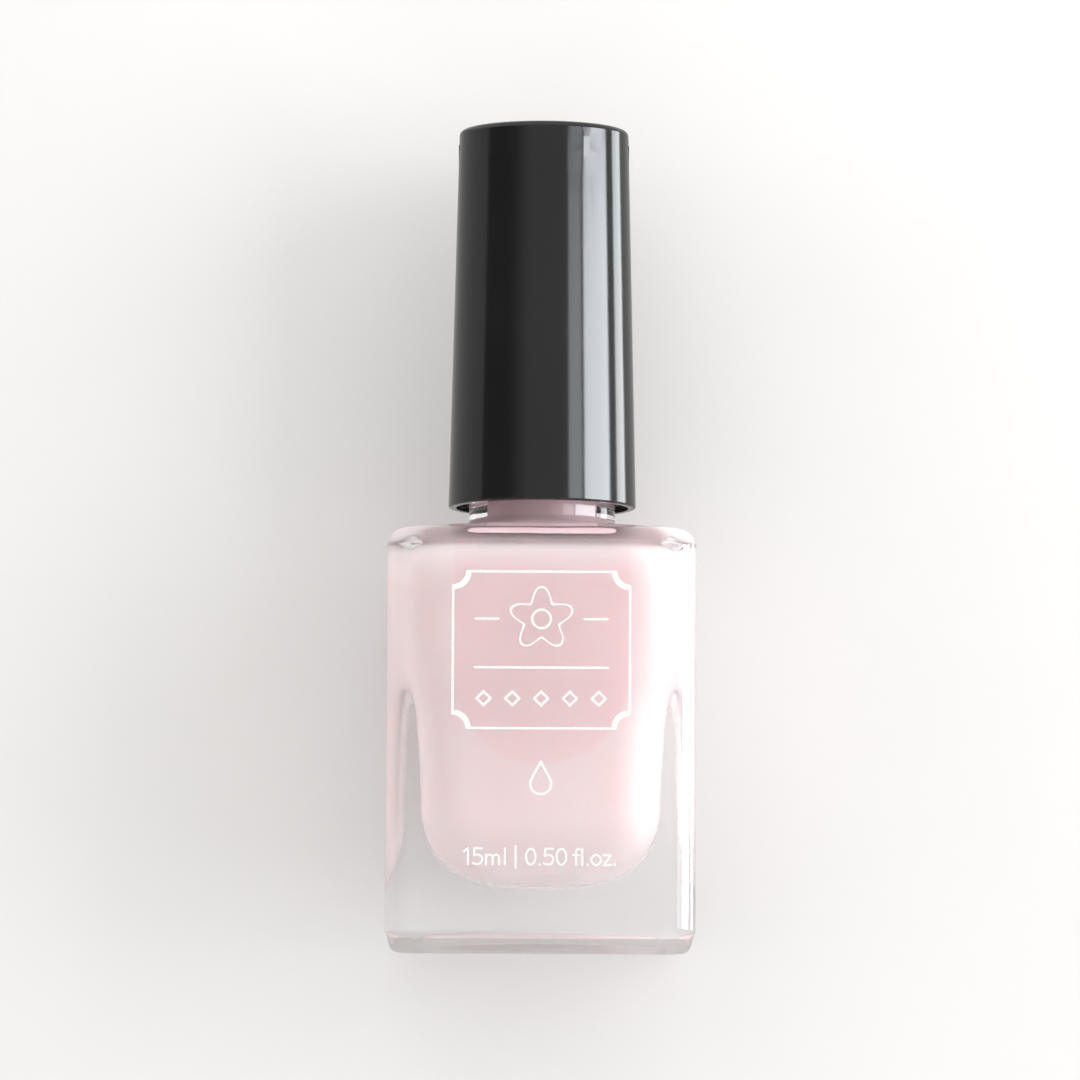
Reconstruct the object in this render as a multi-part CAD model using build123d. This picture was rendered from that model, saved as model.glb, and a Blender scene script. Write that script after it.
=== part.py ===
from build123d import *
import math
import os

# Nail polish bottle, 15 ml: square glass body, threaded neck, tall tapered cap, brush wand.
# Millimetres. Origin at the centre of the resting face, +Z up, -Y is the printed front face.

# ---- driving dimensions ------------------------------------------------------------------
BODY_WIDTH = 28.0          # square plan, across the flats
BODY_CORNER = 2.3          # vertical edge round
HEEL_ROUND = 0.9           # round between the sides and the resting face
EDGE_START = 35.6          # height where the flat faces end and the shoulder edge round starts
EDGE_ROUND = 1.8
EDGE_SWEEP = 70            # degrees of the edge round before the shoulder dome takes over
DOME_RADIUS = 55.0
NECK_FILLET = 0.8          # hollow round where the shoulder meets the neck
PUSH_UP = 0.35             # depth of the shallow recess in the base
PUSH_UP_RADIUS = 9.5

NECK_RING_RADIUS = 6.7     # plain ring between the shoulder and the thread
NECK_RING_TOP = 41.0
NECK_RING_BEVEL = 0.4
NECK_ROOT_RADIUS = 5.75    # 13-415 finish: root diameter 11.5, thread diameter 13.0
THREAD_RADIUS = 6.5
THREAD_PITCH = 2.117       # 12 threads per inch
THREAD_TURNS = 2.25
THREAD_START = 43.6
THREAD_LEAD = 10.0         # degrees round from +X where the threads begin
LIP_HEIGHT = 51.6
BORE_RADIUS = 3.3
LIP_ROUND = 0.5

FLOOR_HEIGHT = 5.0         # inside floor, so the glass base is this thick
FLOOR_KNEE = 12.9          # height where the rounded floor meets the side walls
FLOOR_HALF_WIDTH = 10.85
FLOOR_POWER = 2.6          # squareness of the floor's curve
CAVITY_CORNER = 4.5
CAVITY_WALLS = [           # (height, half width): the hollow widens upward, so the glass thins
    (17.0, 11.05), (21.0, 11.4), (24.0, 12.05), (27.0, 12.5), (31.0, 12.7), (33.8, 12.55),
]
CAVITY_ROOF = [            # (height, half width, corner) under the shoulder
    (35.3, 11.9, 4.8), (36.3, 10.2, 5.2), (37.0, 7.6, 5.4), (37.7, 5.2, 4.6),
]
BORE_FOOT = 39.2           # height where the hollow meets the bore
FILL_HEIGHT = 36.2         # top of the lacquer, bottle upright
FILM_GAP = 0.02            # keeps lacquer and glass faces apart
WET_GAP = 0.05             # the same around the brush and the balls

CAP_RIM = 40.2
CAP_TOP = 75.1
CAP_RIM_RADIUS = 8.6
CAP_TOP_RADIUS = 7.77
CAP_WALL = 0.7
CAP_CROWN = 1.5
CAP_EDGE_ROUND = 0.5
CAP_RIM_ROUND = 0.2
RIB_COUNT = 6
RIB_DEPTH = 1.3            # how far a locating rib stands in from the cap's wall
RIB_WIDTH = 0.7
RIB_CLEARANCE = 0.3        # gap between the ribs and the inner cap

INNER_CAP_RIM = 40.8
INNER_CAP_TOP = 55.0
INNER_BORE_RADIUS = 6.9
INNER_CREST_RADIUS = 6.58  # just outside the neck thread
INNER_PLATE = 53.3         # underside of the top plate
FLUTE_COUNT = 24           # glue flutes down the inner cap's outside
FLUTE_WIDTH = 0.6
FLUTE_DEPTH = 0.25
GLUE_GAP = 0.03
GUSSET_COUNT = 4
GUSSET_REACH = 6.8         # outer end of each gusset, from the axis
GUSSET_WIDTH = 0.8
GUSSET_HEIGHT = 3.2
SOCKET_RADIUS = 2.75       # snap socket for the wand's post
SOCKET_TOP = 61.0
SOCKET_FOOT_RADIUS = 4.2   # outside of the socket, tapering to its top
SOCKET_TOP_RADIUS = 4.0

WASHER_THICKNESS = 0.8
WASHER_RADIUS = 5.9
FLANGE_THICKNESS = 0.8
FLANGE_RADIUS = 6.1
STEM_ROOT_RADIUS = 2.6
STEM_RADIUS = 1.9
STEM_END = 22.4
STEM_TAPER = (45.5, 49.5)  # heights between which the stem widens to its root
POST_RADIUS = 2.5          # snap post above the flange
POST_HEADROOM = 0.6        # from the post's end to the top of its socket
GROOVE_FOOT = 57.0
GROOVE_TOP = 58.0
GROOVE_RADIUS = 2.1
SNAP_GAP = 0.2             # all round the snap bead in its groove
TUFT_SOCKET_RADIUS = 1.4
TUFT_SOCKET_DEPTH = 5.0
TUFT_TIP = 6.9
TUFT_BELLY_RADIUS = 2.05
STAPLE_THICKNESS = 0.35
STAPLE_HEIGHT = 1.5

BALL_RADIUS = 2.0
BALL_OFFSET = 6.2
SEAT_GAP = 0.02            # faces that touch in use stay this far apart

INK_THICKNESS = 0.04
INK_LINE = 0.22
FRAME_WIDTH = 16.2
FRAME_BOTTOM = 18.8
FRAME_TOP = 33.2
FRAME_NOTCH = 1.3
DIVIDER_HEIGHT = 24.4
DIVIDER_LENGTH = 12.2
RULE_LENGTH = 2.2
RULE_OFFSET = 4.9
BLOSSOM_RADIUS = 3.0
BLOSSOM_HEART = 0.95
BLOSSOM_LOBES = 5
DIAMOND_SIDE = 1.1
DIAMOND_STEP = 2.6
DIAMOND_COUNT = 5
DROP_HEIGHT = 13.9
DROP_RADIUS = 1.05
VOLUME_HEIGHT = 6.6
LETTER_HEIGHT = 1.45
LETTER_STRETCH = 1.12      # spreads the characters sideways
LETTER_PEN = 0.17


# ---- helpers -----------------------------------------------------------------------------
def rounded_square(half_width, corner, height):
    """A rounded square of the given half width, lying at a height."""
    return Pos(0, 0, height) * RectangleRounded(2 * half_width, 2 * half_width, corner)


def turned(points):
    """A solid of revolution about Z from (radius, height) points."""
    outline = Polyline([(r, 0, z) for r, z in points], close=True)
    return revolve(make_face(outline), axis=Axis.Z)


def standing(radius, height, foot):
    """A cylinder on the axis, standing on a height."""
    return Pos(0, 0, foot) * Cylinder(radius, height, align=(Align.CENTER, Align.CENTER, Align.MIN))


def cap_radius(height):
    """Outside radius of the tapered outer cap."""
    drop = (CAP_RIM_RADIUS - CAP_TOP_RADIUS) / (CAP_TOP - CAP_RIM)
    return CAP_RIM_RADIUS - drop * (height - CAP_RIM)


def helical_ridge(root_radius, reach, root_half, crest_half, start, turns):
    """A thread ridge: it stands off root_radius by reach, inward when reach is negative."""
    path = Pos(0, 0, start) * Helix(THREAD_PITCH, THREAD_PITCH * turns, root_radius)
    plane = Plane(origin=path @ 0, x_dir=(1, 0, 0), z_dir=path % 0)
    sunk = 0.25            # how far the ridge's foot is sunk into the wall
    buried = -math.copysign(sunk, reach)
    foot_half = root_half + (root_half - crest_half) * sunk / abs(reach)
    section = plane * make_face(Polyline([
        (buried, -foot_half), (reach, -crest_half), (reach, crest_half), (buried, foot_half),
    ], close=True))
    return Rot(0, 0, THREAD_LEAD) * sweep(section, path=path, is_frenet=True)


# ---- glass -------------------------------------------------------------------------------
def shoulder_sections():
    """Rounded squares from the top of the flat faces up to the neck."""
    half = BODY_WIDTH / 2
    rows = []
    for share in (0, 0.35, 0.7, 1):
        angle = math.radians(EDGE_SWEEP * share)
        rows.append((half - EDGE_ROUND * (1 - math.cos(angle)),
                     EDGE_START + EDGE_ROUND * math.sin(angle)))
    edge_half, edge_height = rows[-1]
    for share in (0.35, 0.65, 0.85, 1):
        reach = edge_half + (NECK_RING_RADIUS + 0.2 - edge_half) * share
        rows.append((reach, edge_height + (edge_half ** 2 - reach ** 2) / (2 * DOME_RADIUS)))
    sections = []
    for reach, height in rows:
        inward = max(edge_half - reach, 0) / (edge_half - NECK_RING_RADIUS)
        round_to = NECK_RING_RADIUS - 0.05 - BODY_CORNER
        sections.append(rounded_square(reach, BODY_CORNER + round_to * inward, height))
    return sections, rows[-1][1]


def glass_outside():
    """The outer form of the body, the shoulder and the neck, with its thread."""
    floor_face = RectangleRounded(BODY_WIDTH, BODY_WIDTH, BODY_CORNER)
    body = extrude(floor_face, EDGE_START)
    body = fillet(body.edges().group_by(Axis.Z)[0], HEEL_ROUND)
    sections, shoulder_top = shoulder_sections()
    neck = turned([
        (0, EDGE_START), (NECK_RING_RADIUS, EDGE_START),
        (NECK_RING_RADIUS, NECK_RING_TOP - NECK_RING_BEVEL),
        (NECK_RING_RADIUS - NECK_RING_BEVEL, NECK_RING_TOP), (NECK_ROOT_RADIUS, NECK_RING_TOP),
        (NECK_ROOT_RADIUS, LIP_HEIGHT), (0, LIP_HEIGHT),
    ])
    neck = fillet(neck.edges().filter_by(GeomType.CIRCLE).group_by(Axis.Z)[-1], LIP_ROUND)
    skirt_radius = NECK_RING_RADIUS + NECK_FILLET
    arc = []
    for degrees in range(0, 91, 15):
        angle = math.radians(degrees)
        arc.append((skirt_radius - NECK_FILLET * math.sin(angle),
                    shoulder_top - 0.1 + NECK_FILLET * (1 - math.cos(angle))))
    skirt = turned([(0, shoulder_top - 1), (skirt_radius, shoulder_top - 1), *arc,
                    (0, shoulder_top - 0.1 + NECK_FILLET)])
    thread = helical_ridge(NECK_ROOT_RADIUS, THREAD_RADIUS - NECK_ROOT_RADIUS, 0.75, 0.3,
                           THREAD_START, THREAD_TURNS)
    return body + loft(sections) + skirt + neck + thread


def cavity_profile():
    """(height, half width, corner radius) of the hollow, from its rounded floor to the bore."""
    depth = FLOOR_KNEE - FLOOR_HEIGHT
    rows = []
    for degrees in (8, 20, 35, 50, 65, 80, 90):
        angle = math.radians(degrees)
        half = FLOOR_HALF_WIDTH * math.sin(angle) ** (2 / FLOOR_POWER)
        height = FLOOR_KNEE - depth * math.cos(angle) ** (2 / FLOOR_POWER)
        rows.append((height, half, min(CAVITY_CORNER, 0.6 * half)))
    rows += [(height, half, CAVITY_CORNER) for height, half in CAVITY_WALLS]
    rows += CAVITY_ROOF
    rows.append((BORE_FOOT, BORE_RADIUS, 0.99 * BORE_RADIUS))
    return rows


def hollow(gap=0.0):
    """The bottle's hollow up to the foot of the bore, drawn in by a gap."""
    rows = cavity_profile()
    rows[0] = (rows[0][0] + gap, rows[0][1], rows[0][2])
    return loft([rounded_square(half - gap, corner - gap, height) for height, half, corner in rows])


def glass_bottle():
    bore = standing(BORE_RADIUS, LIP_HEIGHT - BORE_FOOT + 1, BORE_FOOT - 0.4)
    sphere_radius = (PUSH_UP_RADIUS ** 2 + PUSH_UP ** 2) / (2 * PUSH_UP)
    push_up = Pos(0, 0, PUSH_UP - sphere_radius) * Sphere(sphere_radius)
    return glass_outside() - hollow() - bore - push_up


# ---- wand --------------------------------------------------------------------------------
FLANGE_FOOT = LIP_HEIGHT + WASHER_THICKNESS + 2 * SEAT_GAP
FLANGE_TOP = FLANGE_FOOT + FLANGE_THICKNESS


def seal_washer():
    foot = LIP_HEIGHT + SEAT_GAP
    ring = turned([
        (STEM_ROOT_RADIUS + 0.15, foot), (WASHER_RADIUS, foot),
        (WASHER_RADIUS, foot + WASHER_THICKNESS), (STEM_ROOT_RADIUS + 0.15, foot + WASHER_THICKNESS),
    ])
    return chamfer(ring.edges().filter_by(GeomType.CIRCLE), 0.1)


def brush_stem():
    """Wand with its flange, its snap post above and the tuft's socket in its lower end."""
    taper_foot, taper_top = STEM_TAPER
    post_top = SOCKET_TOP - POST_HEADROOM
    bevel = 0.5
    stem = turned([
        (0, STEM_END), (STEM_RADIUS - 0.25, STEM_END), (STEM_RADIUS, STEM_END + 0.4),
        (STEM_RADIUS, taper_foot), (STEM_ROOT_RADIUS, taper_top), (STEM_ROOT_RADIUS, FLANGE_FOOT),
        (FLANGE_RADIUS, FLANGE_FOOT), (FLANGE_RADIUS, FLANGE_TOP), (POST_RADIUS, FLANGE_TOP),
        (POST_RADIUS, GROOVE_FOOT), (GROOVE_RADIUS, GROOVE_FOOT), (GROOVE_RADIUS, GROOVE_TOP),
        (POST_RADIUS, GROOVE_TOP), (POST_RADIUS, post_top - bevel), (POST_RADIUS - bevel, post_top),
        (0, post_top),
    ])
    return stem - standing(TUFT_SOCKET_RADIUS, TUFT_SOCKET_DEPTH, STEM_END)


def tuft_envelope(gap=0.0):
    """The filaments' outer form: held in the socket, a soft belly, and a rounded tip."""
    held = TUFT_SOCKET_RADIUS - SEAT_GAP
    top = STEM_END + TUFT_SOCKET_DEPTH - SEAT_GAP
    length = STEM_END - TUFT_TIP
    outline = make_face(Curve() + [
        Polyline((0, 0, TUFT_TIP - gap), (0, 0, top), (held + gap, 0, top), (held + gap, 0, STEM_END)),
        Spline(
            (held + gap, 0, STEM_END),
            (TUFT_BELLY_RADIUS - 0.15 + gap, 0, STEM_END - 0.4 * length),
            (TUFT_BELLY_RADIUS + gap, 0, STEM_END - 0.75 * length),
            (TUFT_BELLY_RADIUS - 0.5 + gap, 0, TUFT_TIP + 0.6 - gap),
            (0, 0, TUFT_TIP - gap),
            tangents=((0, 0, -1), (-1, 0, 0)),
        ),
    ])
    return revolve(outline, axis=Axis.Z)


def brush_staple(gap=0.0):
    """A flat metal anchor across the folded filaments."""
    width = 2 * TUFT_SOCKET_RADIUS - 0.5
    middle = STEM_END + TUFT_SOCKET_DEPTH - 0.85 - STAPLE_HEIGHT / 2
    return Pos(0, 0, middle) * Box(width + gap, STAPLE_THICKNESS + gap, STAPLE_HEIGHT + gap)


def brush_bristles():
    return tuft_envelope() - brush_staple(2 * SEAT_GAP)


# ---- caps --------------------------------------------------------------------------------
def outer_cap():
    """Glossy tapered over-cap with locating ribs above the inner cap."""
    ceiling = CAP_TOP - CAP_CROWN
    shell = turned([(0, CAP_RIM), (CAP_RIM_RADIUS, CAP_RIM), (CAP_TOP_RADIUS, CAP_TOP), (0, CAP_TOP)])
    shell = fillet(shell.edges().filter_by(GeomType.CIRCLE).group_by(Axis.Z)[-1], CAP_EDGE_ROUND)
    shell = fillet(shell.edges().filter_by(GeomType.CIRCLE).group_by(Axis.Z)[0], CAP_RIM_ROUND)
    inside = turned([
        (0, CAP_RIM - 1), (cap_radius(CAP_RIM - 1) - CAP_WALL, CAP_RIM - 1),
        (cap_radius(ceiling) - CAP_WALL, ceiling), (0, ceiling),
    ])
    rib_foot = INNER_CAP_TOP + RIB_CLEARANCE
    into_wall = 0.3
    rib_middle = cap_radius(rib_foot) - CAP_WALL - RIB_DEPTH / 2
    rib = Pos(rib_middle, 0, (rib_foot + ceiling) / 2) * Box(
        RIB_DEPTH + 2 * into_wall, RIB_WIDTH, ceiling - rib_foot + into_wall)
    cap = shell - inside
    for rib_turn in PolarLocations(0, RIB_COUNT):
        cap += rib_turn * rib
    return cap


def inner_cap():
    """Threaded cap with glue flutes outside and a snap socket for the wand's post."""
    fit = CAP_WALL + GLUE_GAP
    bead_foot = GROOVE_FOOT + SNAP_GAP
    bead_top = GROOVE_TOP - SNAP_GAP
    bead_radius = GROOVE_RADIUS + SNAP_GAP
    foot_radius = cap_radius(INNER_CAP_RIM) - fit
    top_radius = cap_radius(INNER_CAP_TOP) - fit
    cap = turned([
        (0, INNER_CAP_RIM), (foot_radius, INNER_CAP_RIM), (top_radius, INNER_CAP_TOP),
        (SOCKET_FOOT_RADIUS, INNER_CAP_TOP), (SOCKET_TOP_RADIUS, SOCKET_TOP), (0, SOCKET_TOP),
    ])
    inner_end = SOCKET_TOP_RADIUS - 0.2
    gusset = Pos((GUSSET_REACH + inner_end) / 2, 0, INNER_CAP_TOP + GUSSET_HEIGHT / 2 - 0.1) * Box(
        GUSSET_REACH - inner_end, GUSSET_WIDTH, GUSSET_HEIGHT + 0.2)
    for gusset_turn in PolarLocations(0, GUSSET_COUNT, start_angle=180 / GUSSET_COUNT):
        cap += gusset_turn * gusset
    lean = math.degrees(math.atan2(foot_radius - top_radius, INNER_CAP_TOP - INNER_CAP_RIM))
    flute = Box(2 * FLUTE_DEPTH, FLUTE_WIDTH, 2 * (INNER_CAP_TOP - INNER_CAP_RIM))
    wall_middle = Pos((foot_radius + top_radius) / 2, 0, (INNER_CAP_TOP + INNER_CAP_RIM) / 2)
    flute = wall_middle * Rot(0, -lean, 0) * flute
    for flute_turn in PolarLocations(0, FLUTE_COUNT, start_angle=180 / FLUTE_COUNT):
        cap -= flute_turn * flute
    cap -= turned([
        (0, INNER_CAP_RIM - 1), (INNER_BORE_RADIUS, INNER_CAP_RIM - 1), (INNER_BORE_RADIUS, INNER_PLATE),
        (SOCKET_RADIUS, INNER_PLATE), (SOCKET_RADIUS, bead_foot), (bead_radius, bead_foot),
        (bead_radius, bead_top), (SOCKET_RADIUS, bead_top), (SOCKET_RADIUS, SOCKET_TOP + 1),
        (0, SOCKET_TOP + 1),
    ])
    thread = helical_ridge(INNER_BORE_RADIUS, INNER_CREST_RADIUS - INNER_BORE_RADIUS, 0.55, 0.3,
                           THREAD_START + THREAD_PITCH / 2, THREAD_TURNS)
    return cap + thread


# ---- contents ----------------------------------------------------------------------------
def mixing_ball(side):
    """A loose steel ball, resting on the curved floor to one side of the brush."""
    return Pos(side * BALL_OFFSET, 0, ball_rest_height()) * Sphere(BALL_RADIUS)


def ball_rest_height():
    """Lowest clear centre height of a ball over the curved floor."""
    depth = FLOOR_KNEE - FLOOR_HEIGHT
    lowest = 0
    for step in range(-40, 41):
        across = BALL_RADIUS * step / 40
        reach = min(abs(BALL_OFFSET + across) / FLOOR_HALF_WIDTH, 1)
        floor_here = FLOOR_KNEE - depth * (1 - reach ** FLOOR_POWER) ** (1 / FLOOR_POWER)
        lowest = max(lowest, floor_here + math.sqrt(BALL_RADIUS ** 2 - across ** 2))
    return lowest + 0.1


def lacquer():
    """The polish: the hollow up to the fill height, around the brush and the balls."""
    liquid = hollow(FILM_GAP) & standing(BODY_WIDTH, FILL_HEIGHT, 0)
    liquid -= standing(STEM_RADIUS + WET_GAP, FILL_HEIGHT, STEM_END - WET_GAP)
    liquid -= tuft_envelope(WET_GAP)
    for side in (-1, 1):
        liquid -= Pos(side * BALL_OFFSET, 0, ball_rest_height()) * Sphere(BALL_RADIUS + WET_GAP)
    return liquid


# ---- print -------------------------------------------------------------------------------
def inked(sketch):
    """Lays a flat drawing (x right, y up) on the front face as a thin ink solid."""
    front = Plane(origin=(0, -BODY_WIDTH / 2, 0), x_dir=(1, 0, 0), z_dir=(0, -1, 0))
    return extrude(front * sketch, INK_THICKNESS)


def stroke(points, width):
    """A round-ended pen line through the points."""
    line = Sketch()
    for (x0, y0), (x1, y1) in zip(points, points[1:]):
        length = math.hypot(x1 - x0, y1 - y0)
        angle = math.degrees(math.atan2(y1 - y0, x1 - x0))
        line += Pos((x0 + x1) / 2, (y0 + y1) / 2) * Rot(0, 0, angle) * SlotCenterToCenter(length, width)
    return line


def notched(width, height, notch):
    """A rectangle whose corners are cut by circles."""
    plate = Rectangle(width, height)
    for corner in GridLocations(width, height, 2, 2):
        plate -= corner * Circle(notch)
    return plate


def print_frame():
    height = FRAME_TOP - FRAME_BOTTOM
    ring = notched(FRAME_WIDTH, height, FRAME_NOTCH)
    ring -= notched(FRAME_WIDTH - 2 * INK_LINE, height - 2 * INK_LINE, FRAME_NOTCH + INK_LINE)
    divider = Pos(0, DIVIDER_HEIGHT) * Rectangle(DIVIDER_LENGTH, INK_LINE)
    return inked(Pos(0, (FRAME_TOP + FRAME_BOTTOM) / 2) * ring + divider)


def lobed_face(radius, depth, lobes):
    """A smooth flower-like face whose edge swings in and out."""
    points = []
    for step in range(lobes * 8):
        angle = 2 * math.pi * step / (lobes * 8)
        reach = radius * (1 - depth + depth * math.sin(lobes * angle + math.pi / 2))
        points.append((reach * math.sin(angle), reach * math.cos(angle)))
    return make_face(Spline(points, periodic=True))


def print_ornament():
    """A plain blossom between two short rules, and a row of diamonds under the divider."""
    middle = (DIVIDER_HEIGHT + FRAME_TOP) / 2
    blossom = lobed_face(BLOSSOM_RADIUS, 0.2, BLOSSOM_LOBES)
    blossom -= lobed_face(BLOSSOM_RADIUS - INK_LINE, 0.22, BLOSSOM_LOBES)
    blossom += Circle(BLOSSOM_HEART) - Circle(BLOSSOM_HEART - INK_LINE)
    drawing = Pos(0, middle) * blossom
    for side in (-1, 1):
        drawing += Pos(side * RULE_OFFSET, middle) * Rectangle(RULE_LENGTH, INK_LINE)
    row_height = (DIVIDER_HEIGHT + FRAME_BOTTOM) / 2
    hole_side = DIAMOND_SIDE - 2 * INK_LINE
    diamond = Rot(0, 0, 45) * (Rectangle(DIAMOND_SIDE, DIAMOND_SIDE) - Rectangle(hole_side, hole_side))
    for place in GridLocations(DIAMOND_STEP, 1, DIAMOND_COUNT, 1):
        drawing += Pos(0, row_height) * place * diamond
    return inked(drawing)


def drop_face(radius):
    """A plain drop: a round bowl drawn up to a point."""
    tip = 2.1 * radius
    reach = radius * math.cos(math.asin(radius / tip))
    rise = radius ** 2 / tip
    return Circle(radius) + make_face(Polyline((-reach, rise), (0, tip), (reach, rise), close=True))


def print_drop():
    drop = drop_face(DROP_RADIUS) - drop_face(DROP_RADIUS - INK_LINE)
    return inked(Pos(0, DROP_HEIGHT) * drop)


# Pen lines of each character in a cell one unit high: (cell width, strokes)
ROUND_BOWL = [(0.3 + 0.27 * math.sin(a), 0.31 + 0.31 * math.cos(a))
              for a in [math.radians(30 * n) for n in range(13)]]
TALL_BOWL = [(x, 1.6 * y) for x, y in ROUND_BOWL]
ARCH = [(0, 0.4), (0.08, 0.56), (0.2, 0.62), (0.32, 0.56), (0.36, 0.4), (0.36, 0)]
LETTERS = {
    "0": (0.72, [TALL_BOWL]),
    "1": (0.52, [[(0.06, 0.8), (0.3, 1), (0.3, 0)]]),
    "5": (0.72, [[(0.55, 1), (0.14, 1), (0.1, 0.56), (0.34, 0.62), (0.54, 0.5), (0.58, 0.3),
                  (0.46, 0.06), (0.24, 0), (0.04, 0.1)]]),
    "m": (1.02, [[(0.06, 0), (0.06, 0.62)], [(0.06 + x, y) for x, y in ARCH],
                 [(0.42 + x, y) for x, y in ARCH]]),
    "l": (0.28, [[(0.08, 0), (0.08, 1)]]),
    "f": (0.44, [[(0.4, 0.94), (0.28, 1), (0.17, 0.86), (0.17, 0)], [(0, 0.6), (0.36, 0.6)]]),
    "o": (0.7, [ROUND_BOWL]),
    "z": (0.56, [[(0.03, 0.6), (0.42, 0.6), (0.03, 0), (0.42, 0)]]),
    ".": (0.26, [[(0.08, 0), (0.08, 0.06)]]),
    "|": (0.5, [[(0.18, -0.2), (0.18, 1.15)]]),
    " ": (0.22, []),
}


def print_volume():
    """The capacity mark, in a plain pen alphabet."""
    text = "15ml | 0.50 fl.oz."
    across = LETTER_HEIGHT * LETTER_STRETCH
    advance = -sum(LETTERS[character][0] for character in text) * across / 2
    line = Sketch()
    for character in text:
        width, strokes = LETTERS[character]
        for points in strokes:
            placed = [(advance + x * across, VOLUME_HEIGHT + y * LETTER_HEIGHT) for x, y in points]
            line += stroke(placed, LETTER_PEN)
        advance += width * across
    return inked(line)


# ---- every node --------------------------------------------------------------------------
NODES = {
    "glass_bottle": glass_bottle,
    "lacquer": lacquer,
    "mixing_ball_left": lambda: mixing_ball(-1),
    "mixing_ball_right": lambda: mixing_ball(1),
    "seal_washer": seal_washer,
    "brush_stem": brush_stem,
    "brush_bristles": brush_bristles,
    "brush_staple": brush_staple,
    "inner_cap": inner_cap,
    "outer_cap": outer_cap,
    "print_frame": print_frame,
    "print_ornament": print_ornament,
    "print_drop": print_drop,
    "print_volume": print_volume,
}

os.makedirs("parts", exist_ok=True)
for name, make in NODES.items():
    shape = make()
    export_step(shape, f"parts/{name}.step")
    print(name, "solids", len(shape.solids()), "volume mm3", round(shape.volume, 2))
brimful = hollow().volume + math.pi * BORE_RADIUS ** 2 * (LIP_HEIGHT - BORE_FOOT)
print("brimful capacity ml", round(brimful / 1000, 2))
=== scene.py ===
import math
import random

import bpy
from mathutils import Matrix, Vector


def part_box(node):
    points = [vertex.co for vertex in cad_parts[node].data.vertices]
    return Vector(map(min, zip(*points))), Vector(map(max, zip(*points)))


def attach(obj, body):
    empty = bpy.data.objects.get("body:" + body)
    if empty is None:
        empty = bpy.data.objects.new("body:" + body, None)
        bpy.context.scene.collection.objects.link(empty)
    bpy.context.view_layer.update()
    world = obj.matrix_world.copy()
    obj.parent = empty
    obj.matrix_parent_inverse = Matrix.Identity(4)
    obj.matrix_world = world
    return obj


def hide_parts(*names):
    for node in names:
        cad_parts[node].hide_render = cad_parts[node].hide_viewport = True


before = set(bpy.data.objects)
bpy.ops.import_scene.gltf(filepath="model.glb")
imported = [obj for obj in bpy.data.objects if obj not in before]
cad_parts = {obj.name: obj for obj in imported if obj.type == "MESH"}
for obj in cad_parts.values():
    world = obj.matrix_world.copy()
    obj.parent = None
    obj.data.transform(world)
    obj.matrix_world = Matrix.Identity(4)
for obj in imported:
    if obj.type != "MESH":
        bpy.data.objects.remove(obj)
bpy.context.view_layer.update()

MM = 0.001

# ---- the bottle's driving dimensions, in millimetres, as the CAD has them -------------------
BODY_HALF = 14.0
BODY_CORNER = 2.3
HEEL_ROUND = 0.9
PUSH_UP = 0.35
PUSH_UP_RADIUS = 9.5
EDGE_START = 35.6
EDGE_ROUND = 1.8
EDGE_SWEEP = math.radians(70)
DOME_RADIUS = 55.0
NECK_RING_RADIUS = 6.7
NECK_RING_FOOT = 39.1
NECK_RING_TOP = 41.0
NECK_RING_BEVEL = 0.4
NECK_FILLET = 0.8
NECK_ROOT_RADIUS = 5.75
NECK_ROOT_ROUND = 0.1
THREAD_REACH = 0.75
THREAD_PITCH = 2.117
THREAD_TURNS = 2.25
THREAD_START = 43.6
THREAD_LEAD = math.radians(10)       # where the thread starts, round from +X
THREAD_FOOT = 0.78                   # from the ridge's middle to its foot
THREAD_FLANK = 0.45                  # from the foot to the crest
THREAD_RUN_OUT = 0.12                # the share of a turn that either end takes to rise
LIP_HEIGHT = 51.6
LIP_ROUND = 0.5
LIP_INNER_ROUND = 0.25
BORE_RADIUS = 3.3
BORE_FOOT = 39.2
FLOOR_HEIGHT = 5.0
FLOOR_KNEE = 12.9
FLOOR_HALF_WIDTH = 10.85
FLOOR_LEVEL_HALF = 10.0              # the floor is nearly level out to here
FLOOR_POWER = 2.6
FLOOR_CORNER_SHARE = 0.6
CAVITY_CORNER = 4.5
FILL_HEIGHT = 36.2

# The hollow's walls as (half width, height), then its roof as (half width, corner, height).
CAVITY_WALLS = [(11.05, 17), (11.4, 21), (12.05, 24), (12.5, 27), (12.7, 31), (12.55, 33.8)]
CAVITY_ROOF = [(11.9, 4.8, 35.3), (10.2, 5.2, 36.3), (7.6, 5.4, 37.0), (5.2, 4.6, 37.7)]

# ---- how finely the turned and squared shapes are drawn -------------------------------------
RING_POINTS = 256                    # points round each ring of the glass and the lacquer
CORNER_CROWDING = 0.6                # how much closer those points stand at the corners
THREAD_ROWS = 84


# ---- mesh helpers -------------------------------------------------------------------------
def ring_angles(count, crowding):
    """Angles round a ring, closer together at the four corners."""
    angles = []
    for step in range(count):
        even = 2 * math.pi * step / count
        angles.append(even + crowding * math.sin(4 * even) / 4)
    return angles


def square_reach(half, corner, angle):
    """Distance from the centre to a rounded square's edge, in a direction."""
    fold = abs((angle + math.pi / 4) % (math.pi / 2) - math.pi / 4)
    along, across = math.cos(fold), math.sin(fold)
    if half * across / along <= half - corner:
        return half / along
    centre = half - corner
    toward = centre * (along + across)
    return toward + math.sqrt(max(toward ** 2 - 2 * centre ** 2 + corner ** 2, 0))


def square_ring(half, corner, height, angles):
    """One ring of points on a rounded square."""
    points = []
    for angle in angles:
        reach = square_reach(half, min(corner, half), angle)
        points.append((reach * math.cos(angle), reach * math.sin(angle), height))
    return points


def round_ring(radius, height, angles):
    """One ring of points on a circle."""
    return square_ring(radius, radius, height, angles)


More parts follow.
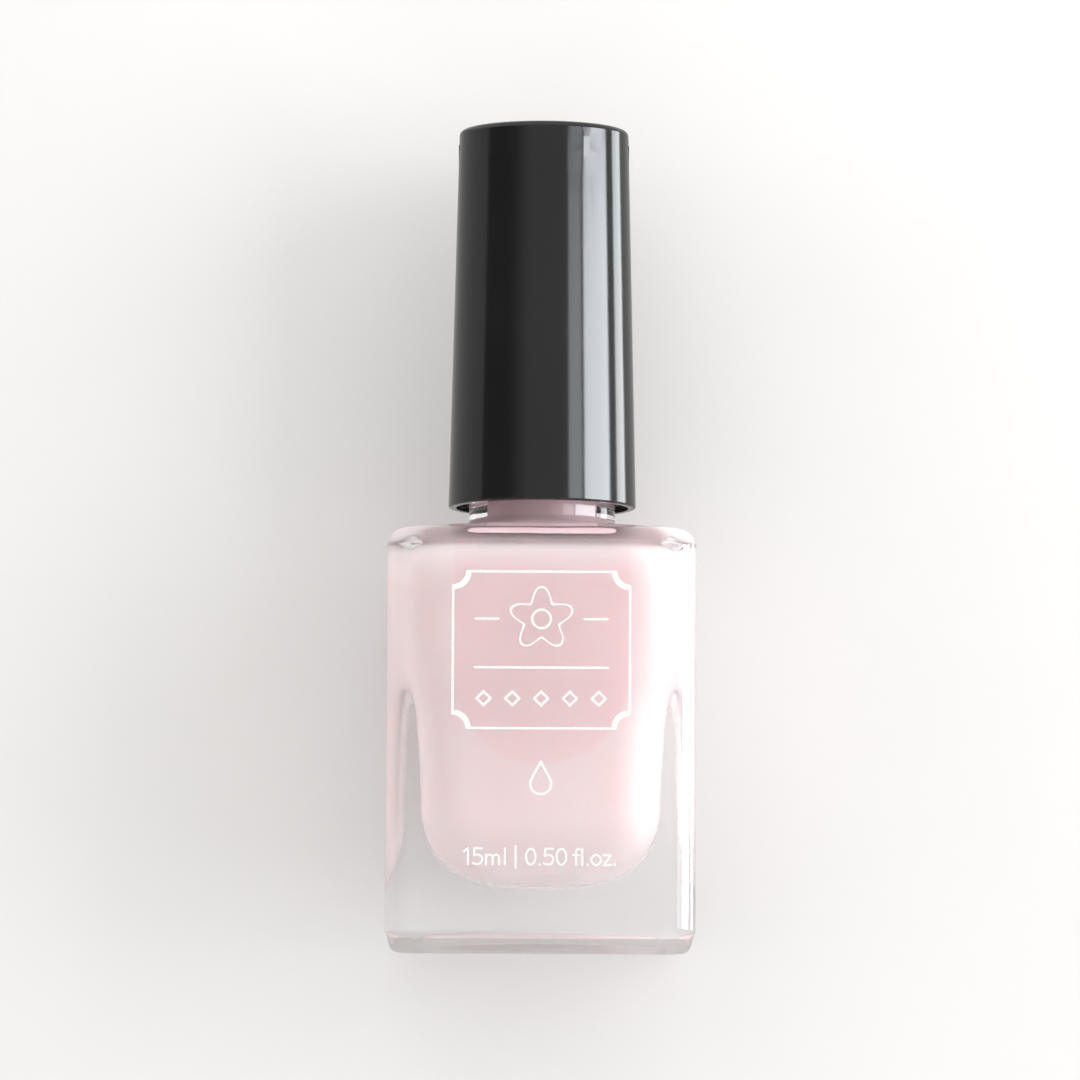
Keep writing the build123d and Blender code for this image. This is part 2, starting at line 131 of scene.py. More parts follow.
def object_from(name, points, faces, smooth=True):
    """A mesh object from points in millimetres."""
    mesh = bpy.data.meshes.new(name)
    mesh.from_pydata([(x * MM, y * MM, z * MM) for x, y, z in points], [], faces)
    mesh.polygons.foreach_set("use_smooth", [smooth] * len(faces))
    mesh.update()
    piece = bpy.data.objects.new(name, mesh)
    bpy.context.scene.collection.objects.link(piece)
    return piece


def skin(name, rings, first_tip=None, last_tip=None):
    """A closed skin over rings of equal count, with a point closing either end."""
    count = len(rings[0])
    points = [point for ring in rings for point in ring]
    faces = []
    for row in range(len(rings) - 1):
        for step in range(count):
            after = (step + 1) % count
            faces.append((row * count + step, row * count + after,
                          (row + 1) * count + after, (row + 1) * count + step))
    if first_tip is not None:
        points.append(first_tip)
        tip = len(points) - 1
        faces += [(tip, (step + 1) % count, step) for step in range(count)]
    if last_tip is not None:
        points.append(last_tip)
        tip = len(points) - 1
        base = (len(rings) - 1) * count
        faces += [(tip, base + step, base + (step + 1) % count) for step in range(count)]
    return object_from(name, points, faces)


def steps(first, last, count):
    """count numbers after first, the last of them last."""
    return [first + (last - first) * (n + 1) / count for n in range(count)]


def smooth_through(knots, parts):
    """A Catmull-Rom curve through rows of numbers, without its first row."""
    rows = []
    padded = [knots[0]] + knots + [knots[-1]]
    for a, b, c, d in zip(padded, padded[1:], padded[2:], padded[3:]):
        for part in range(1, parts + 1):
            t = part / parts
            rows.append(tuple(
                0.5 * (2 * q + (r - p) * t + (2 * p - 5 * q + 4 * r - s) * t ** 2
                       + (3 * q - p - 3 * r + s) * t ** 3)
                for p, q, r, s in zip(a, b, c, d)))
    return rows


# ---- glass bottle -------------------------------------------------------------------------
def base_rows():
    """(half width, corner, height) from the centre of the base out to the side wall."""
    rows = []
    for reach in (0.6, 2, 4, 6, 8, 9, PUSH_UP_RADIUS):
        rows.append((reach, reach, PUSH_UP * (1 - (reach / PUSH_UP_RADIUS) ** 2)))
    flat_half = BODY_HALF - HEEL_ROUND
    for share in steps(0, 1, 4):
        half = PUSH_UP_RADIUS + (flat_half - PUSH_UP_RADIUS) * share
        corner = PUSH_UP_RADIUS + (BODY_CORNER - HEEL_ROUND - PUSH_UP_RADIUS) * share ** 0.5
        rows.append((half, corner, 0))
    for angle in steps(0, math.pi / 2, 8):
        out = HEEL_ROUND * math.sin(angle)
        up = HEEL_ROUND * (1 - math.cos(angle))
        rows.append((flat_half + out, BODY_CORNER - HEEL_ROUND + out, up))
    return rows


def shoulder_rows():
    """The edge round, the low dome and the hollow round at the neck's foot."""
    rows = []
    for angle in steps(0, EDGE_SWEEP, 10):
        rows.append((BODY_HALF - EDGE_ROUND * (1 - math.cos(angle)), BODY_CORNER,
                     EDGE_START + EDGE_ROUND * math.sin(angle)))
    edge_half, _, edge_height = rows[-1]
    neck_half = NECK_RING_RADIUS + NECK_FILLET
    for half in steps(edge_half, neck_half, 14):
        share = (edge_half - half) / (edge_half - neck_half)
        corner = BODY_CORNER + (neck_half - BODY_CORNER) * share
        rows.append((half, corner, edge_height + (edge_half ** 2 - half ** 2) / (2 * DOME_RADIUS)))
    top = rows[-1][2]
    for angle in steps(0, math.pi / 2, 8):
        half = neck_half - NECK_FILLET * math.sin(angle)
        rows.append((half, half, top + NECK_FILLET * (1 - math.cos(angle))))
    return rows


def cavity_rows():
    """(half width, corner, height) of the hollow from its floor up to the bore."""
    depth = FLOOR_KNEE - FLOOR_HEIGHT
    rows = []
    # Finer near the middle, where even steps would leave a wide flat.
    for degrees in (1, 3, 5, 8, 12, 16, *range(20, 91, 5)):
        angle = math.radians(degrees)
        half = FLOOR_HALF_WIDTH * math.sin(angle) ** (2 / FLOOR_POWER)
        height = FLOOR_KNEE - depth * math.cos(angle) ** (2 / FLOOR_POWER)
        rows.append((half, min(CAVITY_CORNER, FLOOR_CORNER_SHARE * half), height))
    knots = [(FLOOR_HALF_WIDTH, CAVITY_CORNER, FLOOR_KNEE)]
    knots += [(half, CAVITY_CORNER, height) for half, height in CAVITY_WALLS]
    knots += CAVITY_ROOF
    knots.append((BORE_RADIUS, BORE_RADIUS, BORE_FOOT))
    return rows + smooth_through(knots, 5)


def thread_rise_at(angle, height):
    """How far the thread ridge stands off the neck root at a place, its ends running out gently."""
    turn = ((angle - THREAD_LEAD) % (2 * math.pi)) / (2 * math.pi)
    best = 0.0
    for whole in range(math.ceil(THREAD_TURNS)):
        along = turn + whole
        if along > THREAD_TURNS:
            continue
        off = abs(height - (THREAD_START + THREAD_PITCH * along))
        ridge = min(max((THREAD_FOOT - off) / THREAD_FLANK, 0), 1)
        run_out = min(along / THREAD_RUN_OUT, (THREAD_TURNS - along) / THREAD_RUN_OUT, 1)
        best = max(best, THREAD_REACH * (3 * ridge ** 2 - 2 * ridge ** 3) * max(run_out, 0))
    return best


def collar_rings(angles):
    """The plain ring under the thread, bevelled at its top, and the ledge in to the neck's root."""
    rings = []
    for height in steps(NECK_RING_FOOT, NECK_RING_TOP - NECK_RING_BEVEL, 3):
        rings.append(round_ring(NECK_RING_RADIUS, height, angles))
    for angle in steps(0, math.pi / 2, 5):
        reach = NECK_RING_RADIUS - NECK_RING_BEVEL * (1 - math.cos(angle))
        height = NECK_RING_TOP - NECK_RING_BEVEL * (1 - math.sin(angle))
        rings.append(round_ring(reach, height, angles))
    rings.append(round_ring(NECK_ROOT_RADIUS + NECK_ROOT_ROUND, NECK_RING_TOP, angles))
    return rings


def thread_rings(angles):
    """The neck with its thread ridge, from the ledge up to the lip."""
    rings = []
    for height in steps(NECK_RING_TOP + NECK_ROOT_ROUND, LIP_HEIGHT - LIP_ROUND, THREAD_ROWS):
        ring = []
        for angle in angles:
            reach = NECK_ROOT_RADIUS + thread_rise_at(angle, height)
            ring.append((reach * math.cos(angle), reach * math.sin(angle), height))
        rings.append(ring)
    return rings


def lip_and_bore_rings(angles):
    """Over the rounded lip and down the bore."""
    rings = []
    for angle in steps(0, math.pi / 2, 6):
        reach = NECK_ROOT_RADIUS - LIP_ROUND * (1 - math.cos(angle))
        rings.append(round_ring(reach, LIP_HEIGHT - LIP_ROUND * (1 - math.sin(angle)), angles))
    for angle in steps(0, math.pi / 2, 4):
        reach = BORE_RADIUS + LIP_INNER_ROUND * (1 - math.sin(angle))
        rings.append(round_ring(reach, LIP_HEIGHT - LIP_INNER_ROUND * (1 - math.cos(angle)), angles))
    for height in steps(LIP_HEIGHT - LIP_INNER_ROUND, BORE_FOOT + 0.2, 10):
        rings.append(round_ring(BORE_RADIUS, height, angles))
    return rings


def make_glass():
    """One closed skin: up the outside, over the lip, down the bore and round the hollow."""
    angles = ring_angles(RING_POINTS, CORNER_CROWDING)
    rings = [square_ring(*row, angles) for row in base_rows()]
    for height in steps(HEEL_ROUND, EDGE_START, 16):
        rings.append(square_ring(BODY_HALF, BODY_CORNER, height, angles))
    rings += [square_ring(*row, angles) for row in shoulder_rows()]
    rings += collar_rings(angles)
    rings += thread_rings(angles)
    rings += lip_and_bore_rings(angles)
    rings += [square_ring(*row, angles) for row in reversed(cavity_rows())]
    return skin("glass_body", rings, (0, 0, PUSH_UP), (0, 0, FLOOR_HEIGHT))


# ---- lacquer ------------------------------------------------------------------------------
WET_OVERLAP = 0.03         # the lacquer reaches this far into the glass, so no air shows between
FILM = 0.12                # how thick the coat inside the shoulder and the bore is
FILM_SAG = 0.05            # its inner side hangs this much lower than its outer side
FILM_FOOT = FILL_HEIGHT - 0.6
FILM_BORE_FOOT = 39.3
FILM_TOP = 49.8

# The liquid's edge climbs the glass: (how far in from the edge, how far down from it).
MENISCUS = [(0.15, 0.12), (0.4, 0.26), (0.8, 0.36), (1.6, 0.42), (4, 0.44), (7, 0.44)]


def make_lacquer():
    """The liquid up to its level, with a small meniscus climbing the glass."""
    angles = ring_angles(RING_POINTS, CORNER_CROWDING)
    rows = []
    for half, corner, height in cavity_rows():
        if height < FILL_HEIGHT:
            sink = WET_OVERLAP if half < FLOOR_LEVEL_HALF else 0
            rows.append((half + WET_OVERLAP, corner + WET_OVERLAP, height - sink))
    rings = [square_ring(*row, angles) for row in rows]
    half, corner, height = rows[-1]
    for inset, drop in MENISCUS:
        rings.append(square_ring(half - inset, corner, height - drop, angles))
    bottom = (0, 0, FLOOR_HEIGHT - WET_OVERLAP)
    middle = (0, 0, height - MENISCUS[-1][1])
    return skin("lacquer_fill", rings, bottom, middle)


def make_neck_film():
    """A thin coat of lacquer left inside the bore and under the shoulder."""
    angles = ring_angles(RING_POINTS, CORNER_CROWDING)
    outer = [(half + WET_OVERLAP, corner + WET_OVERLAP, height)
             for half, corner, height in cavity_rows() if height > FILM_FOOT]
    reach = BORE_RADIUS + WET_OVERLAP
    outer += [(reach, reach, height) for height in steps(FILM_BORE_FOOT, FILM_TOP, 8)]
    inner = [(half - FILM - WET_OVERLAP, corner - FILM, height - FILM_SAG)
             for half, corner, height in reversed(outer)]
    rings = [square_ring(*row, angles) for row in outer + inner]
    return skin("neck_film", rings + [rings[0]])


# ---- brush --------------------------------------------------------------------------------
STEM_END = 22.4
TUFT_TOP = 27.3
TUFT_TIP = 6.9
TUFT_HELD = 1.36
TUFT_BELLY = 1.95
BELLY_SPAN = 1.35          # the belly's curve would close this many tuft lengths below the stem
BELLY_POWER = 1.2
TIP_RISE = 0.25            # how far above the tuft's tip its middle filament ends
TIP_DOME = 1.9             # how much further up the outermost ends
TIP_UNEVEN = 0.5           # how unevenly the filaments are cut
FILAMENTS = 240
FILAMENT_RADIUS = 0.055
FILAMENT_TAPER = 0.45
FILAMENT_STRAY = 0.06
FILAMENT_TWIST = 0.12
FILAMENT_SIDES = 6
FILAMENT_ROWS = 13
GOLDEN_SHARE = 3 - math.sqrt(5)      # of half a turn, from one filament round to the next

# The coat's rings run from its foot to its top, and close to a point just past each.
COAT_FOOT_POINT = TUFT_TIP + 0.2
COAT_FOOT = TUFT_TIP + 0.32
COAT_TOP = STEM_END - 1.2
COAT_TOP_POINT = STEM_END - 1.1
COAT_RIBS = [(0.035, 23, 2), (0.03, 9, 0)]     # (depth, ribs round, how much they lean)
COAT_CLOSE = 0.1           # the coat lies this far inside the tuft's outline
COAT_TIP_SHARE = 0.12      # the share of the tuft's length over which the coat's tip is round
COAT_THIN_FROM = 0.7       # from this share of the length upward the coat thins
COAT_THINNING = 0.22


def tuft_reach(height):
    """The tuft's radius at a height: held, then a soft belly, then drawn in to the tip."""
    if height >= STEM_END:
        return TUFT_HELD
    share = (STEM_END - height) / (STEM_END - TUFT_TIP)
    belly = math.sin(math.pi * min(share / BELLY_SPAN, 1)) ** BELLY_POWER
    return TUFT_HELD + (TUFT_BELLY - TUFT_HELD) * belly


def filament_points(number, draw):
    """One filament's points, ring by ring from where it is held down to its own tip."""
    share = math.sqrt((number + 0.5) / FILAMENTS)
    angle = number * math.pi * GOLDEN_SHARE
    tip = TUFT_TIP + TIP_RISE + TIP_DOME * share ** 3 + draw.uniform(0, TIP_UNEVEN)
    stray = draw.uniform(-FILAMENT_STRAY, FILAMENT_STRAY)
    points = []
    for row in range(FILAMENT_ROWS):
        along = row / (FILAMENT_ROWS - 1)
        height = TUFT_TOP + (tip - TUFT_TOP) * along
        reach = share * (tuft_reach(height) - FILAMENT_RADIUS) + stray * along ** 2
        thick = FILAMENT_RADIUS * (1 - FILAMENT_TAPER * along ** 4)
        swing = angle + FILAMENT_TWIST * along * math.sin(number)
        for side in range(FILAMENT_SIDES):
            turn = 2 * math.pi * side / FILAMENT_SIDES
            points.append((reach * math.cos(swing) + thick * math.cos(turn),
                           reach * math.sin(swing) + thick * math.sin(turn), height))
    return points


def tube_faces(first, sides, rows):
    """Faces of a closed tube that runs downward, its points starting at first in the list."""
    faces = []
    for row in range(rows - 1):
        upper = first + row * sides
        lower = upper + sides
        for side in range(sides):
            after = (side + 1) % sides
            faces.append((upper + side, lower + side, lower + after, upper + after))
    faces.append(tuple(first + side for side in range(sides)))
    last = first + (rows - 1) * sides
    faces.append(tuple(last + side for side in reversed(range(sides))))
    return faces


def make_bristles():
    """Every filament as its own thin tapering tube."""
    draw = random.Random(7)
    points = []
    faces = []
    for number in range(FILAMENTS):
        faces += tube_faces(len(points), FILAMENT_SIDES, FILAMENT_ROWS)
        points += filament_points(number, draw)
    return object_from("bristle_filaments", points, faces)


def make_brush_coat():
    """Wet lacquer that clings to the tuft, ribbed by the filaments under it."""
    rings = []
    angles = ring_angles(96, 0)
    for height in steps(COAT_FOOT, COAT_TOP, 40):
        share = (height - TUFT_TIP) / (STEM_END - TUFT_TIP)
        tip_round = min(math.sqrt(max(share / COAT_TIP_SHARE, 0)), 1)
        top_thin = 1 - COAT_THINNING * max((share - COAT_THIN_FROM) / (1 - COAT_THIN_FROM), 0)
        ring = []
        for angle in angles:
            rib = sum(depth * math.sin(count * angle + lean * height) for depth, count, lean in COAT_RIBS)
            reach = (tuft_reach(height) - COAT_CLOSE + rib) * tip_round * top_thin
            ring.append((reach * math.cos(angle), reach * math.sin(angle), height))
        rings.append(ring)
    return skin("brush_coat", rings, (0, 0, COAT_FOOT_POINT), (0, 0, COAT_TOP_POINT))


# ---- mixing balls -------------------------------------------------------------------------
BALL_ROWS = 36
BALL_POINTS = 64


def make_ball(node):
    """A ball of the CAD ball's size and place, from rings about an upright axis."""
    low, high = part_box(node)
    x, y, z = [(a + b) / 2 / MM for a, b in zip(low, high)]
    radius = (high[2] - low[2]) / 2 / MM
    rings = []
    for step in range(1, BALL_ROWS):
        angle = math.pi * step / BALL_ROWS
        ring = round_ring(radius * math.sin(angle), z - radius * math.cos(angle),
                          ring_angles(BALL_POINTS, 0))
        rings.append([(x + out, y + across, height) for out, across, height in ring])
    return skin(f"{node}_turned", rings, (x, y, z - radius), (x, y, z + radius))


# ---- materials ----------------------------------------------------------------------------
class Nodes:
    """Short calls for building the node tree of one material, or of the world."""

    def __init__(self, name, world=False):
        self.owner = bpy.data.worlds.new(name) if world else bpy.data.materials.new(name)
        self.owner.use_nodes = True
        self.tree = self.owner.node_tree
        self.tree.nodes.clear()
        self.out = self.add("ShaderNodeOutputWorld" if world else "ShaderNodeOutputMaterial")
        self.where = self.add("ShaderNodeTexCoord").outputs["Generated" if world else "Object"]

    def add(self, kind, **settings):
        node = self.tree.nodes.new(kind)
        for key, value in settings.items():
            setattr(node, key, value)
        return node

    def link(self, source, target):
        self.tree.links.new(source, target)

    def feed(self, value, socket):
        """Link another node's output to a socket, or set the socket to a plain number or colour."""
        if isinstance(value, tuple):
            socket.default_value = (*value, 1)
        elif isinstance(value, (int, float)):
            socket.default_value = value
        else:
            self.link(value, socket)

    def principled(self, **sockets):
        node = self.add("ShaderNodeBsdfPrincipled")
        for key, value in sockets.items():
            node.inputs[key.replace("_", " ")].default_value = value
        return node

    def stretch(self, scale):
        node = self.add("ShaderNodeMapping")
        node.inputs["Scale"].default_value = scale
        self.link(self.where, node.inputs["Vector"])
        return node.outputs["Vector"]

    def axes(self):
        """The place's own X, Y and Z."""
        node = self.add("ShaderNodeSeparateXYZ")
        self.link(self.where, node.inputs[0])
        return node.outputs

    def noise(self, scale, detail=3.0, roughness=0.55, vector=None):
        node = self.add("ShaderNodeTexNoise")
        node.inputs["Scale"].default_value = scale
        node.inputs["Detail"].default_value = detail
        node.inputs["Roughness"].default_value = roughness
        self.link(vector or self.where, node.inputs["Vector"])
        return node.outputs["Fac"]

    def ramp(self, value, *stops):
        """A colour ramp through (place, value or colour) stops."""
        node = self.add("ShaderNodeValToRGB")
        elements = node.color_ramp.elements
        while len(elements) < len(stops):
            elements.new(0.5)
        for element, (place, colour) in zip(elements, stops):
            element.position = place
            element.color = (*colour, 1) if isinstance(colour, tuple) else (colour, colour, colour, 1)
        self.link(value, node.inputs["Fac"])
        return node.outputs["Color"]

    def span(self, value, start, end, low=0.0, high=1.0):
        """Smoothly from low at start to high at end."""
        node = self.add("ShaderNodeMapRange", interpolation_type="SMOOTHSTEP")
        for socket, number in (("From Min", start), ("From Max", end), ("To Min", low), ("To Max", high)):
            node.inputs[socket].default_value = number
        self.link(value, node.inputs["Value"])
        return node.outputs["Result"]

    def math(self, operation, *values, clamp=False):
        """A maths node over sockets and plain numbers."""
        node = self.add("ShaderNodeMath", operation=operation, use_clamp=clamp)
        for value, socket in zip(values, node.inputs):
            self.feed(value, socket)
        return node.outputs[0]

    def mix(self, factor, first, second):
        """The first number where the factor is 0, the second where it is 1."""
        node = self.add("ShaderNodeMix", data_type="FLOAT")
        self.link(factor, node.inputs["Factor"])
        self.feed(first, node.inputs[2])
        self.feed(second, node.inputs[3])
        return node.outputs[0]

    def mix_colours(self, factor, first, second):
        """The first colour where the factor is 0, the second where it is 1."""
        node = self.add("ShaderNodeMix", data_type="RGBA")
        self.link(factor, node.inputs["Factor"])
        self.feed(first, node.inputs[6])
        self.feed(second, node.inputs[7])
        return node.outputs[2]

    def mix_shaders(self, factor, first, second):
        """The first shader where the factor is 0, the second where it is 1."""
        node = self.add("ShaderNodeMixShader")
        self.link(factor, node.inputs["Fac"])
        self.link(first.outputs[0], node.inputs[1])
        self.link(second.outputs[0], node.inputs[2])
        return node

    def bump(self, height, strength, distance, under=None):
        node = self.add("ShaderNodeBump")
        node.inputs["Strength"].default_value = strength
        node.inputs["Distance"].default_value = distance
        self.link(height, node.inputs["Height"])
        if under is not None:
            self.link(under, node.inputs["Normal"])
        return node.outputs["Normal"]

    def finish(self, shader):
        self.link(shader.outputs[0], self.out.inputs["Surface"])
        return self.owner


def glass_material():
    """Clear pressed glass with faint waves, which lets lamps' shadow rays through."""
    n = Nodes("clear_glass")
    glass = n.principled(Base_Color=(0.985, 0.992, 0.99, 1), Roughness=0.0, IOR=1.5,
                         Transmission_Weight=1.0)
    waves = n.bump(n.noise(140, 2.0), 0.12, 0.0004)
    n.link(n.bump(n.noise(900, 2.0), 0.03, 0.0001, waves), glass.inputs["Normal"])
    n.link(n.ramp(n.noise(2200, 4.0), (0.62, 0.0), (0.8, 0.06)), glass.inputs["Roughness"])
    clear = n.add("ShaderNodeBsdfTransparent")
    clear.inputs["Color"].default_value = (0.945, 0.94, 0.935, 1)
    shadow = n.add("ShaderNodeLightPath").outputs["Is Shadow Ray"]
    return n.finish(n.mix_shaders(shadow, glass, clear))


# Painted shade: inside this outline the lacquer is painted a deeper pink, for the shaded liquid surface
# that a bubble would show.
BUBBLE_HALF = 8.1          # the long bubble of a bottle that has lain on its back, in millimetres
BUBBLE_CENTRE = 23.8       # the height of its round foot's centre, which it runs straight up from
BUBBLE_EDGE = (0.15, -0.45)          # it fades in from this far outside its edge to this far inside
BUBBLE_DEPTH = (-6, -9)              # and from this place toward the front to this one


def bubble_shade_mask(n):
    """Mask for painted shade: one inside the bubble's outline on the front, zero outside."""
    place = n.axes()
    below = n.math("MINIMUM", n.math("SUBTRACT", place["Z"], BUBBLE_CENTRE * MM), 0.0)
    flat = n.add("ShaderNodeCombineXYZ")
    n.link(place["X"], flat.inputs["X"])
    n.link(below, flat.inputs["Z"])
    reach = n.add("ShaderNodeVectorMath", operation="LENGTH")
    n.link(flat.outputs[0], reach.inputs[0])
    edges = [(BUBBLE_HALF + out) * MM for out in BUBBLE_EDGE]
    inside = n.span(reach.outputs["Value"], *edges)
    front = n.span(place["Y"], *[depth * MM for depth in BUBBLE_DEPTH])
    return n.math("MULTIPLY", inside, front)


def lacquer_material(name, gloss, pale, deep, bubble_shade):
    """Milky pink lacquer: light travels some way inside it. Where the bubble shows it is painted a deeper
    pink, as shade on the liquid's surface seen through the bubble.
    """
    n = Nodes(name)
    shader = n.principled(Roughness=0.08, IOR=1.45, Specular_IOR_Level=gloss,
                          Subsurface_Weight=1.0, Subsurface_Scale=0.004)
    shader.inputs["Subsurface Radius"].default_value = (1.0, 0.7, 0.66)
    swirl = n.noise(90, 5.0, 0.6, n.stretch((1.0, 1.0, 0.45)))
    settled = n.ramp(swirl, (0.3, deep), (0.7, pale))
    # painted shade: a deeper pink inside the bubble's outline
    n.link(n.mix_colours(bubble_shade_mask(n), settled, bubble_shade), shader.inputs["Base Color"])
    return n.finish(shader)


def film_material():
    """The thin coat that lacquer leaves on glass: milky, streaked where it has run back down."""
    n = Nodes("pink_film")
    shader = n.principled(Roughness=0.3, IOR=1.45, Specular_IOR_Level=0.0)
    runs = n.noise(260, 4.0, 0.6, n.stretch((1.0, 1.0, 0.25)))
    n.link(n.ramp(runs, (0.3, (0.93, 0.69, 0.73)), (0.7, (0.96, 0.76, 0.79))), shader.inputs["Base Color"])
    return n.finish(shader)


def gloss_black_material():
    """Glossy black moulded cap: slight moulding ripple, hairline scratches and dust-fine haze."""
    n = Nodes("black_gloss")
    shader = n.principled(IOR=1.6)
    n.link(n.ramp(n.noise(60, 3.0), (0.3, (0.0035, 0.0035, 0.004)), (0.7, (0.006, 0.006, 0.0068))),
           shader.inputs["Base Color"])
    hairs = n.noise(400, 6.0, 0.7, n.stretch((9.0, 9.0, 0.5)))
    n.link(n.ramp(hairs, (0.35, 0.11), (0.66, 0.14), (0.8, 0.24)), shader.inputs["Roughness"])
    ripple = n.bump(n.noise(75, 1.0, 0.5, n.stretch((1.0, 1.0, 0.3))), 0.05, 0.0003)
    n.link(n.bump(hairs, 0.02, 0.00005, ripple), shader.inputs["Normal"])
    return n.finish(shader)


def moulded_black_material():
    """Satin black plastic of the inner cap and the wand."""
    n = Nodes("black_moulded")
    shader = n.principled(IOR=1.5)
    grain = n.noise(3500, 4.0, 0.6)
    n.link(n.ramp(n.noise(220, 4.0), (0.3, (0.010, 0.010, 0.011)), (0.75, (0.022, 0.022, 0.024))),
           shader.inputs["Base Color"])
    n.link(n.ramp(grain, (0.3, 0.28), (0.7, 0.42)), shader.inputs["Roughness"])
    n.link(n.bump(grain, 0.12, 0.00004), shader.inputs["Normal"])
    return n.finish(shader)


def steel_material():
    """Polished bearing steel with light tumbling marks."""
    n = Nodes("polished_steel")
    shader = n.principled(Metallic=1.0)
    n.link(n.ramp(n.noise(900, 4.0), (0.3, (0.62, 0.63, 0.65)), (0.7, (0.78, 0.79, 0.8))),
           shader.inputs["Base Color"])
    marks = n.noise(2600, 5.0, 0.7)
    n.link(n.ramp(marks, (0.4, 0.06), (0.75, 0.25)), shader.inputs["Roughness"])
    n.link(n.bump(marks, 0.05, 0.00002), shader.inputs["Normal"])
    return n.finish(shader)


def liner_material():
    """Soft off-white foam liner."""
    n = Nodes("seal_liner")
    shader = n.principled(IOR=1.45, Subsurface_Weight=0.3, Subsurface_Scale=0.0006)
    cells = n.noise(5200, 3.0, 0.6)
    n.link(n.ramp(cells, (0.3, (0.72, 0.71, 0.68)), (0.7, (0.84, 0.83, 0.8))), shader.inputs["Base Color"])
    n.link(n.ramp(cells, (0.3, 0.5), (0.7, 0.7)), shader.inputs["Roughness"])
    n.link(n.bump(cells, 0.3, 0.00003), shader.inputs["Normal"])
    return n.finish(shader)


def filament_material():
    """Dark nylon filaments, streaked paler along their length."""
    n = Nodes("dark_filament")
    shader = n.principled(IOR=1.53)
    streak = n.noise(2600, 3.0, 0.6, n.stretch((1.0, 1.0, 0.05)))
    n.link(n.ramp(streak, (0.3, (0.012, 0.011, 0.011)), (0.75, (0.06, 0.052, 0.05))),
           shader.inputs["Base Color"])
    n.link(n.ramp(streak, (0.3, 0.22), (0.7, 0.4)), shader.inputs["Roughness"])
    return n.finish(shader)


def brass_material():
    """Drawn brass of the tuft's anchor."""
    n = Nodes("anchor_metal")
    shader = n.principled(Metallic=1.0)
    drawn = n.noise(3000, 4.0, 0.6, n.stretch((0.1, 1.0, 1.0)))
    n.link(n.ramp(drawn, (0.3, (0.62, 0.46, 0.2)), (0.7, (0.8, 0.63, 0.32))), shader.inputs["Base Color"])
    n.link(n.ramp(drawn, (0.3, 0.2), (0.7, 0.38)), shader.inputs["Roughness"])
    return n.finish(shader)


def ink_material():
    """White screen ink: slightly uneven cover with a fine mesh grain."""
    n = Nodes("white_ink")
    shader = n.principled(IOR=1.45)
    cover = n.noise(7000, 3.0, 0.6)
    n.link(n.ramp(cover, (0.25, (0.82, 0.78, 0.785)), (0.6, (0.90, 0.87, 0.875))),
           shader.inputs["Base Color"])
    n.link(n.ramp(cover, (0.3, 0.35), (0.7, 0.55)), shader.inputs["Roughness"])
    n.link(n.bump(cover, 0.2, 0.00002), shader.inputs["Normal"])
    n.link(n.ramp(cover, (0.25, 0.6), (0.6, 0.78)), shader.inputs["Alpha"])
    return n.finish(shader)


def surface_material(name, seen_by, through_glass=1.0):
    """Matt pale studio surface. It shows from its front only, and only to the kinds of ray in seen_by.

    Seen through glass it is brighter by a factor, for the light that thick glass gathers behind itself."""
    n = Nodes(name)
    shader = n.principled(Roughness=0.75, Specular_IOR_Level=0.2)
    path = n.add("ShaderNodeLightPath").outputs
    colour = n.ramp(n.noise(35, 6.0, 0.6), (0.3, (0.64, 0.637, 0.637)), (0.7, (0.655, 0.652, 0.651)))
    brighter = n.add("ShaderNodeVectorMath", operation="SCALE")
    n.link(colour, brighter.inputs[0])
    n.link(n.mix(path["Is Transmission Ray"], 1.0, through_glass), brighter.inputs["Scale"])
    n.link(brighter.outputs["Vector"], shader.inputs["Base Color"])
    n.link(n.bump(n.noise(700, 5.0, 0.6), 0.05, 0.0002), shader.inputs["Normal"])
    seen = path[seen_by[0]]
    for kind in seen_by[1:]:
        seen = n.math("MAXIMUM", seen, path[kind])
    behind = n.add("ShaderNodeNewGeometry").outputs["Backfacing"]
    front = n.math("SUBTRACT", seen, behind, clamp=True)
    return n.finish(n.mix_shaders(front, n.add("ShaderNodeBsdfTransparent"), shader))


def dress(piece, material):
    piece.data.materials.clear()
    piece.data.materials.append(material)


# ---- pieces on the frame ------------------------------------------------------------------
def place_glass():
    glass = make_glass()
    dress(glass, glass_material())
    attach(glass, "bottle")
    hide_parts("glass_bottle")


def place_lacquer():
    """The liquid itself, milky through glass, and the coat it leaves above its level."""
    fill = make_lacquer()
    # painted shade: the last colour is the deeper pink painted inside the bubble's outline
    dress(fill, lacquer_material("pink_lacquer", gloss=0.14, pale=(0.93, 0.795, 0.805),
                                 deep=(0.91, 0.765, 0.775), bubble_shade=(0.925, 0.735, 0.75)))
    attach(fill, "bottle")
    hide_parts("lacquer")

    film = make_neck_film()
    dress(film, film_material())
    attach(film, "bottle")


def place_brush():
    """The filaments, and the wet lacquer on them, painted deeper than the lacquer behind glass as shade,
    since out of the bottle it takes the lamps' light with no glass between.
    """
    bristles = make_bristles()
    dress(bristles, filament_material())
    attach(bristles, "wand")
    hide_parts("brush_bristles")

    coat = make_brush_coat()
    # painted shade here too: the last colour is the deeper pink painted inside the bubble's outline
    # painted shade: these colours are darker copies of the lacquer's, for the stronger light the coat
    # takes outside the glass
    dress(coat, lacquer_material("wet_lacquer_shaded", gloss=0.5, pale=(0.72, 0.53, 0.55),
                                 deep=(0.66, 0.46, 0.48), bubble_shade=(0.68, 0.48, 0.5)))
    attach(coat, "wand")


def place_balls():
    steel = steel_material()
    for side in ("left", "right"):
        ball = make_ball(f"mixing_ball_{side}")
        dress(ball, steel)
        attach(ball, f"ball_{side}")
        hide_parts(f"mixing_ball_{side}")


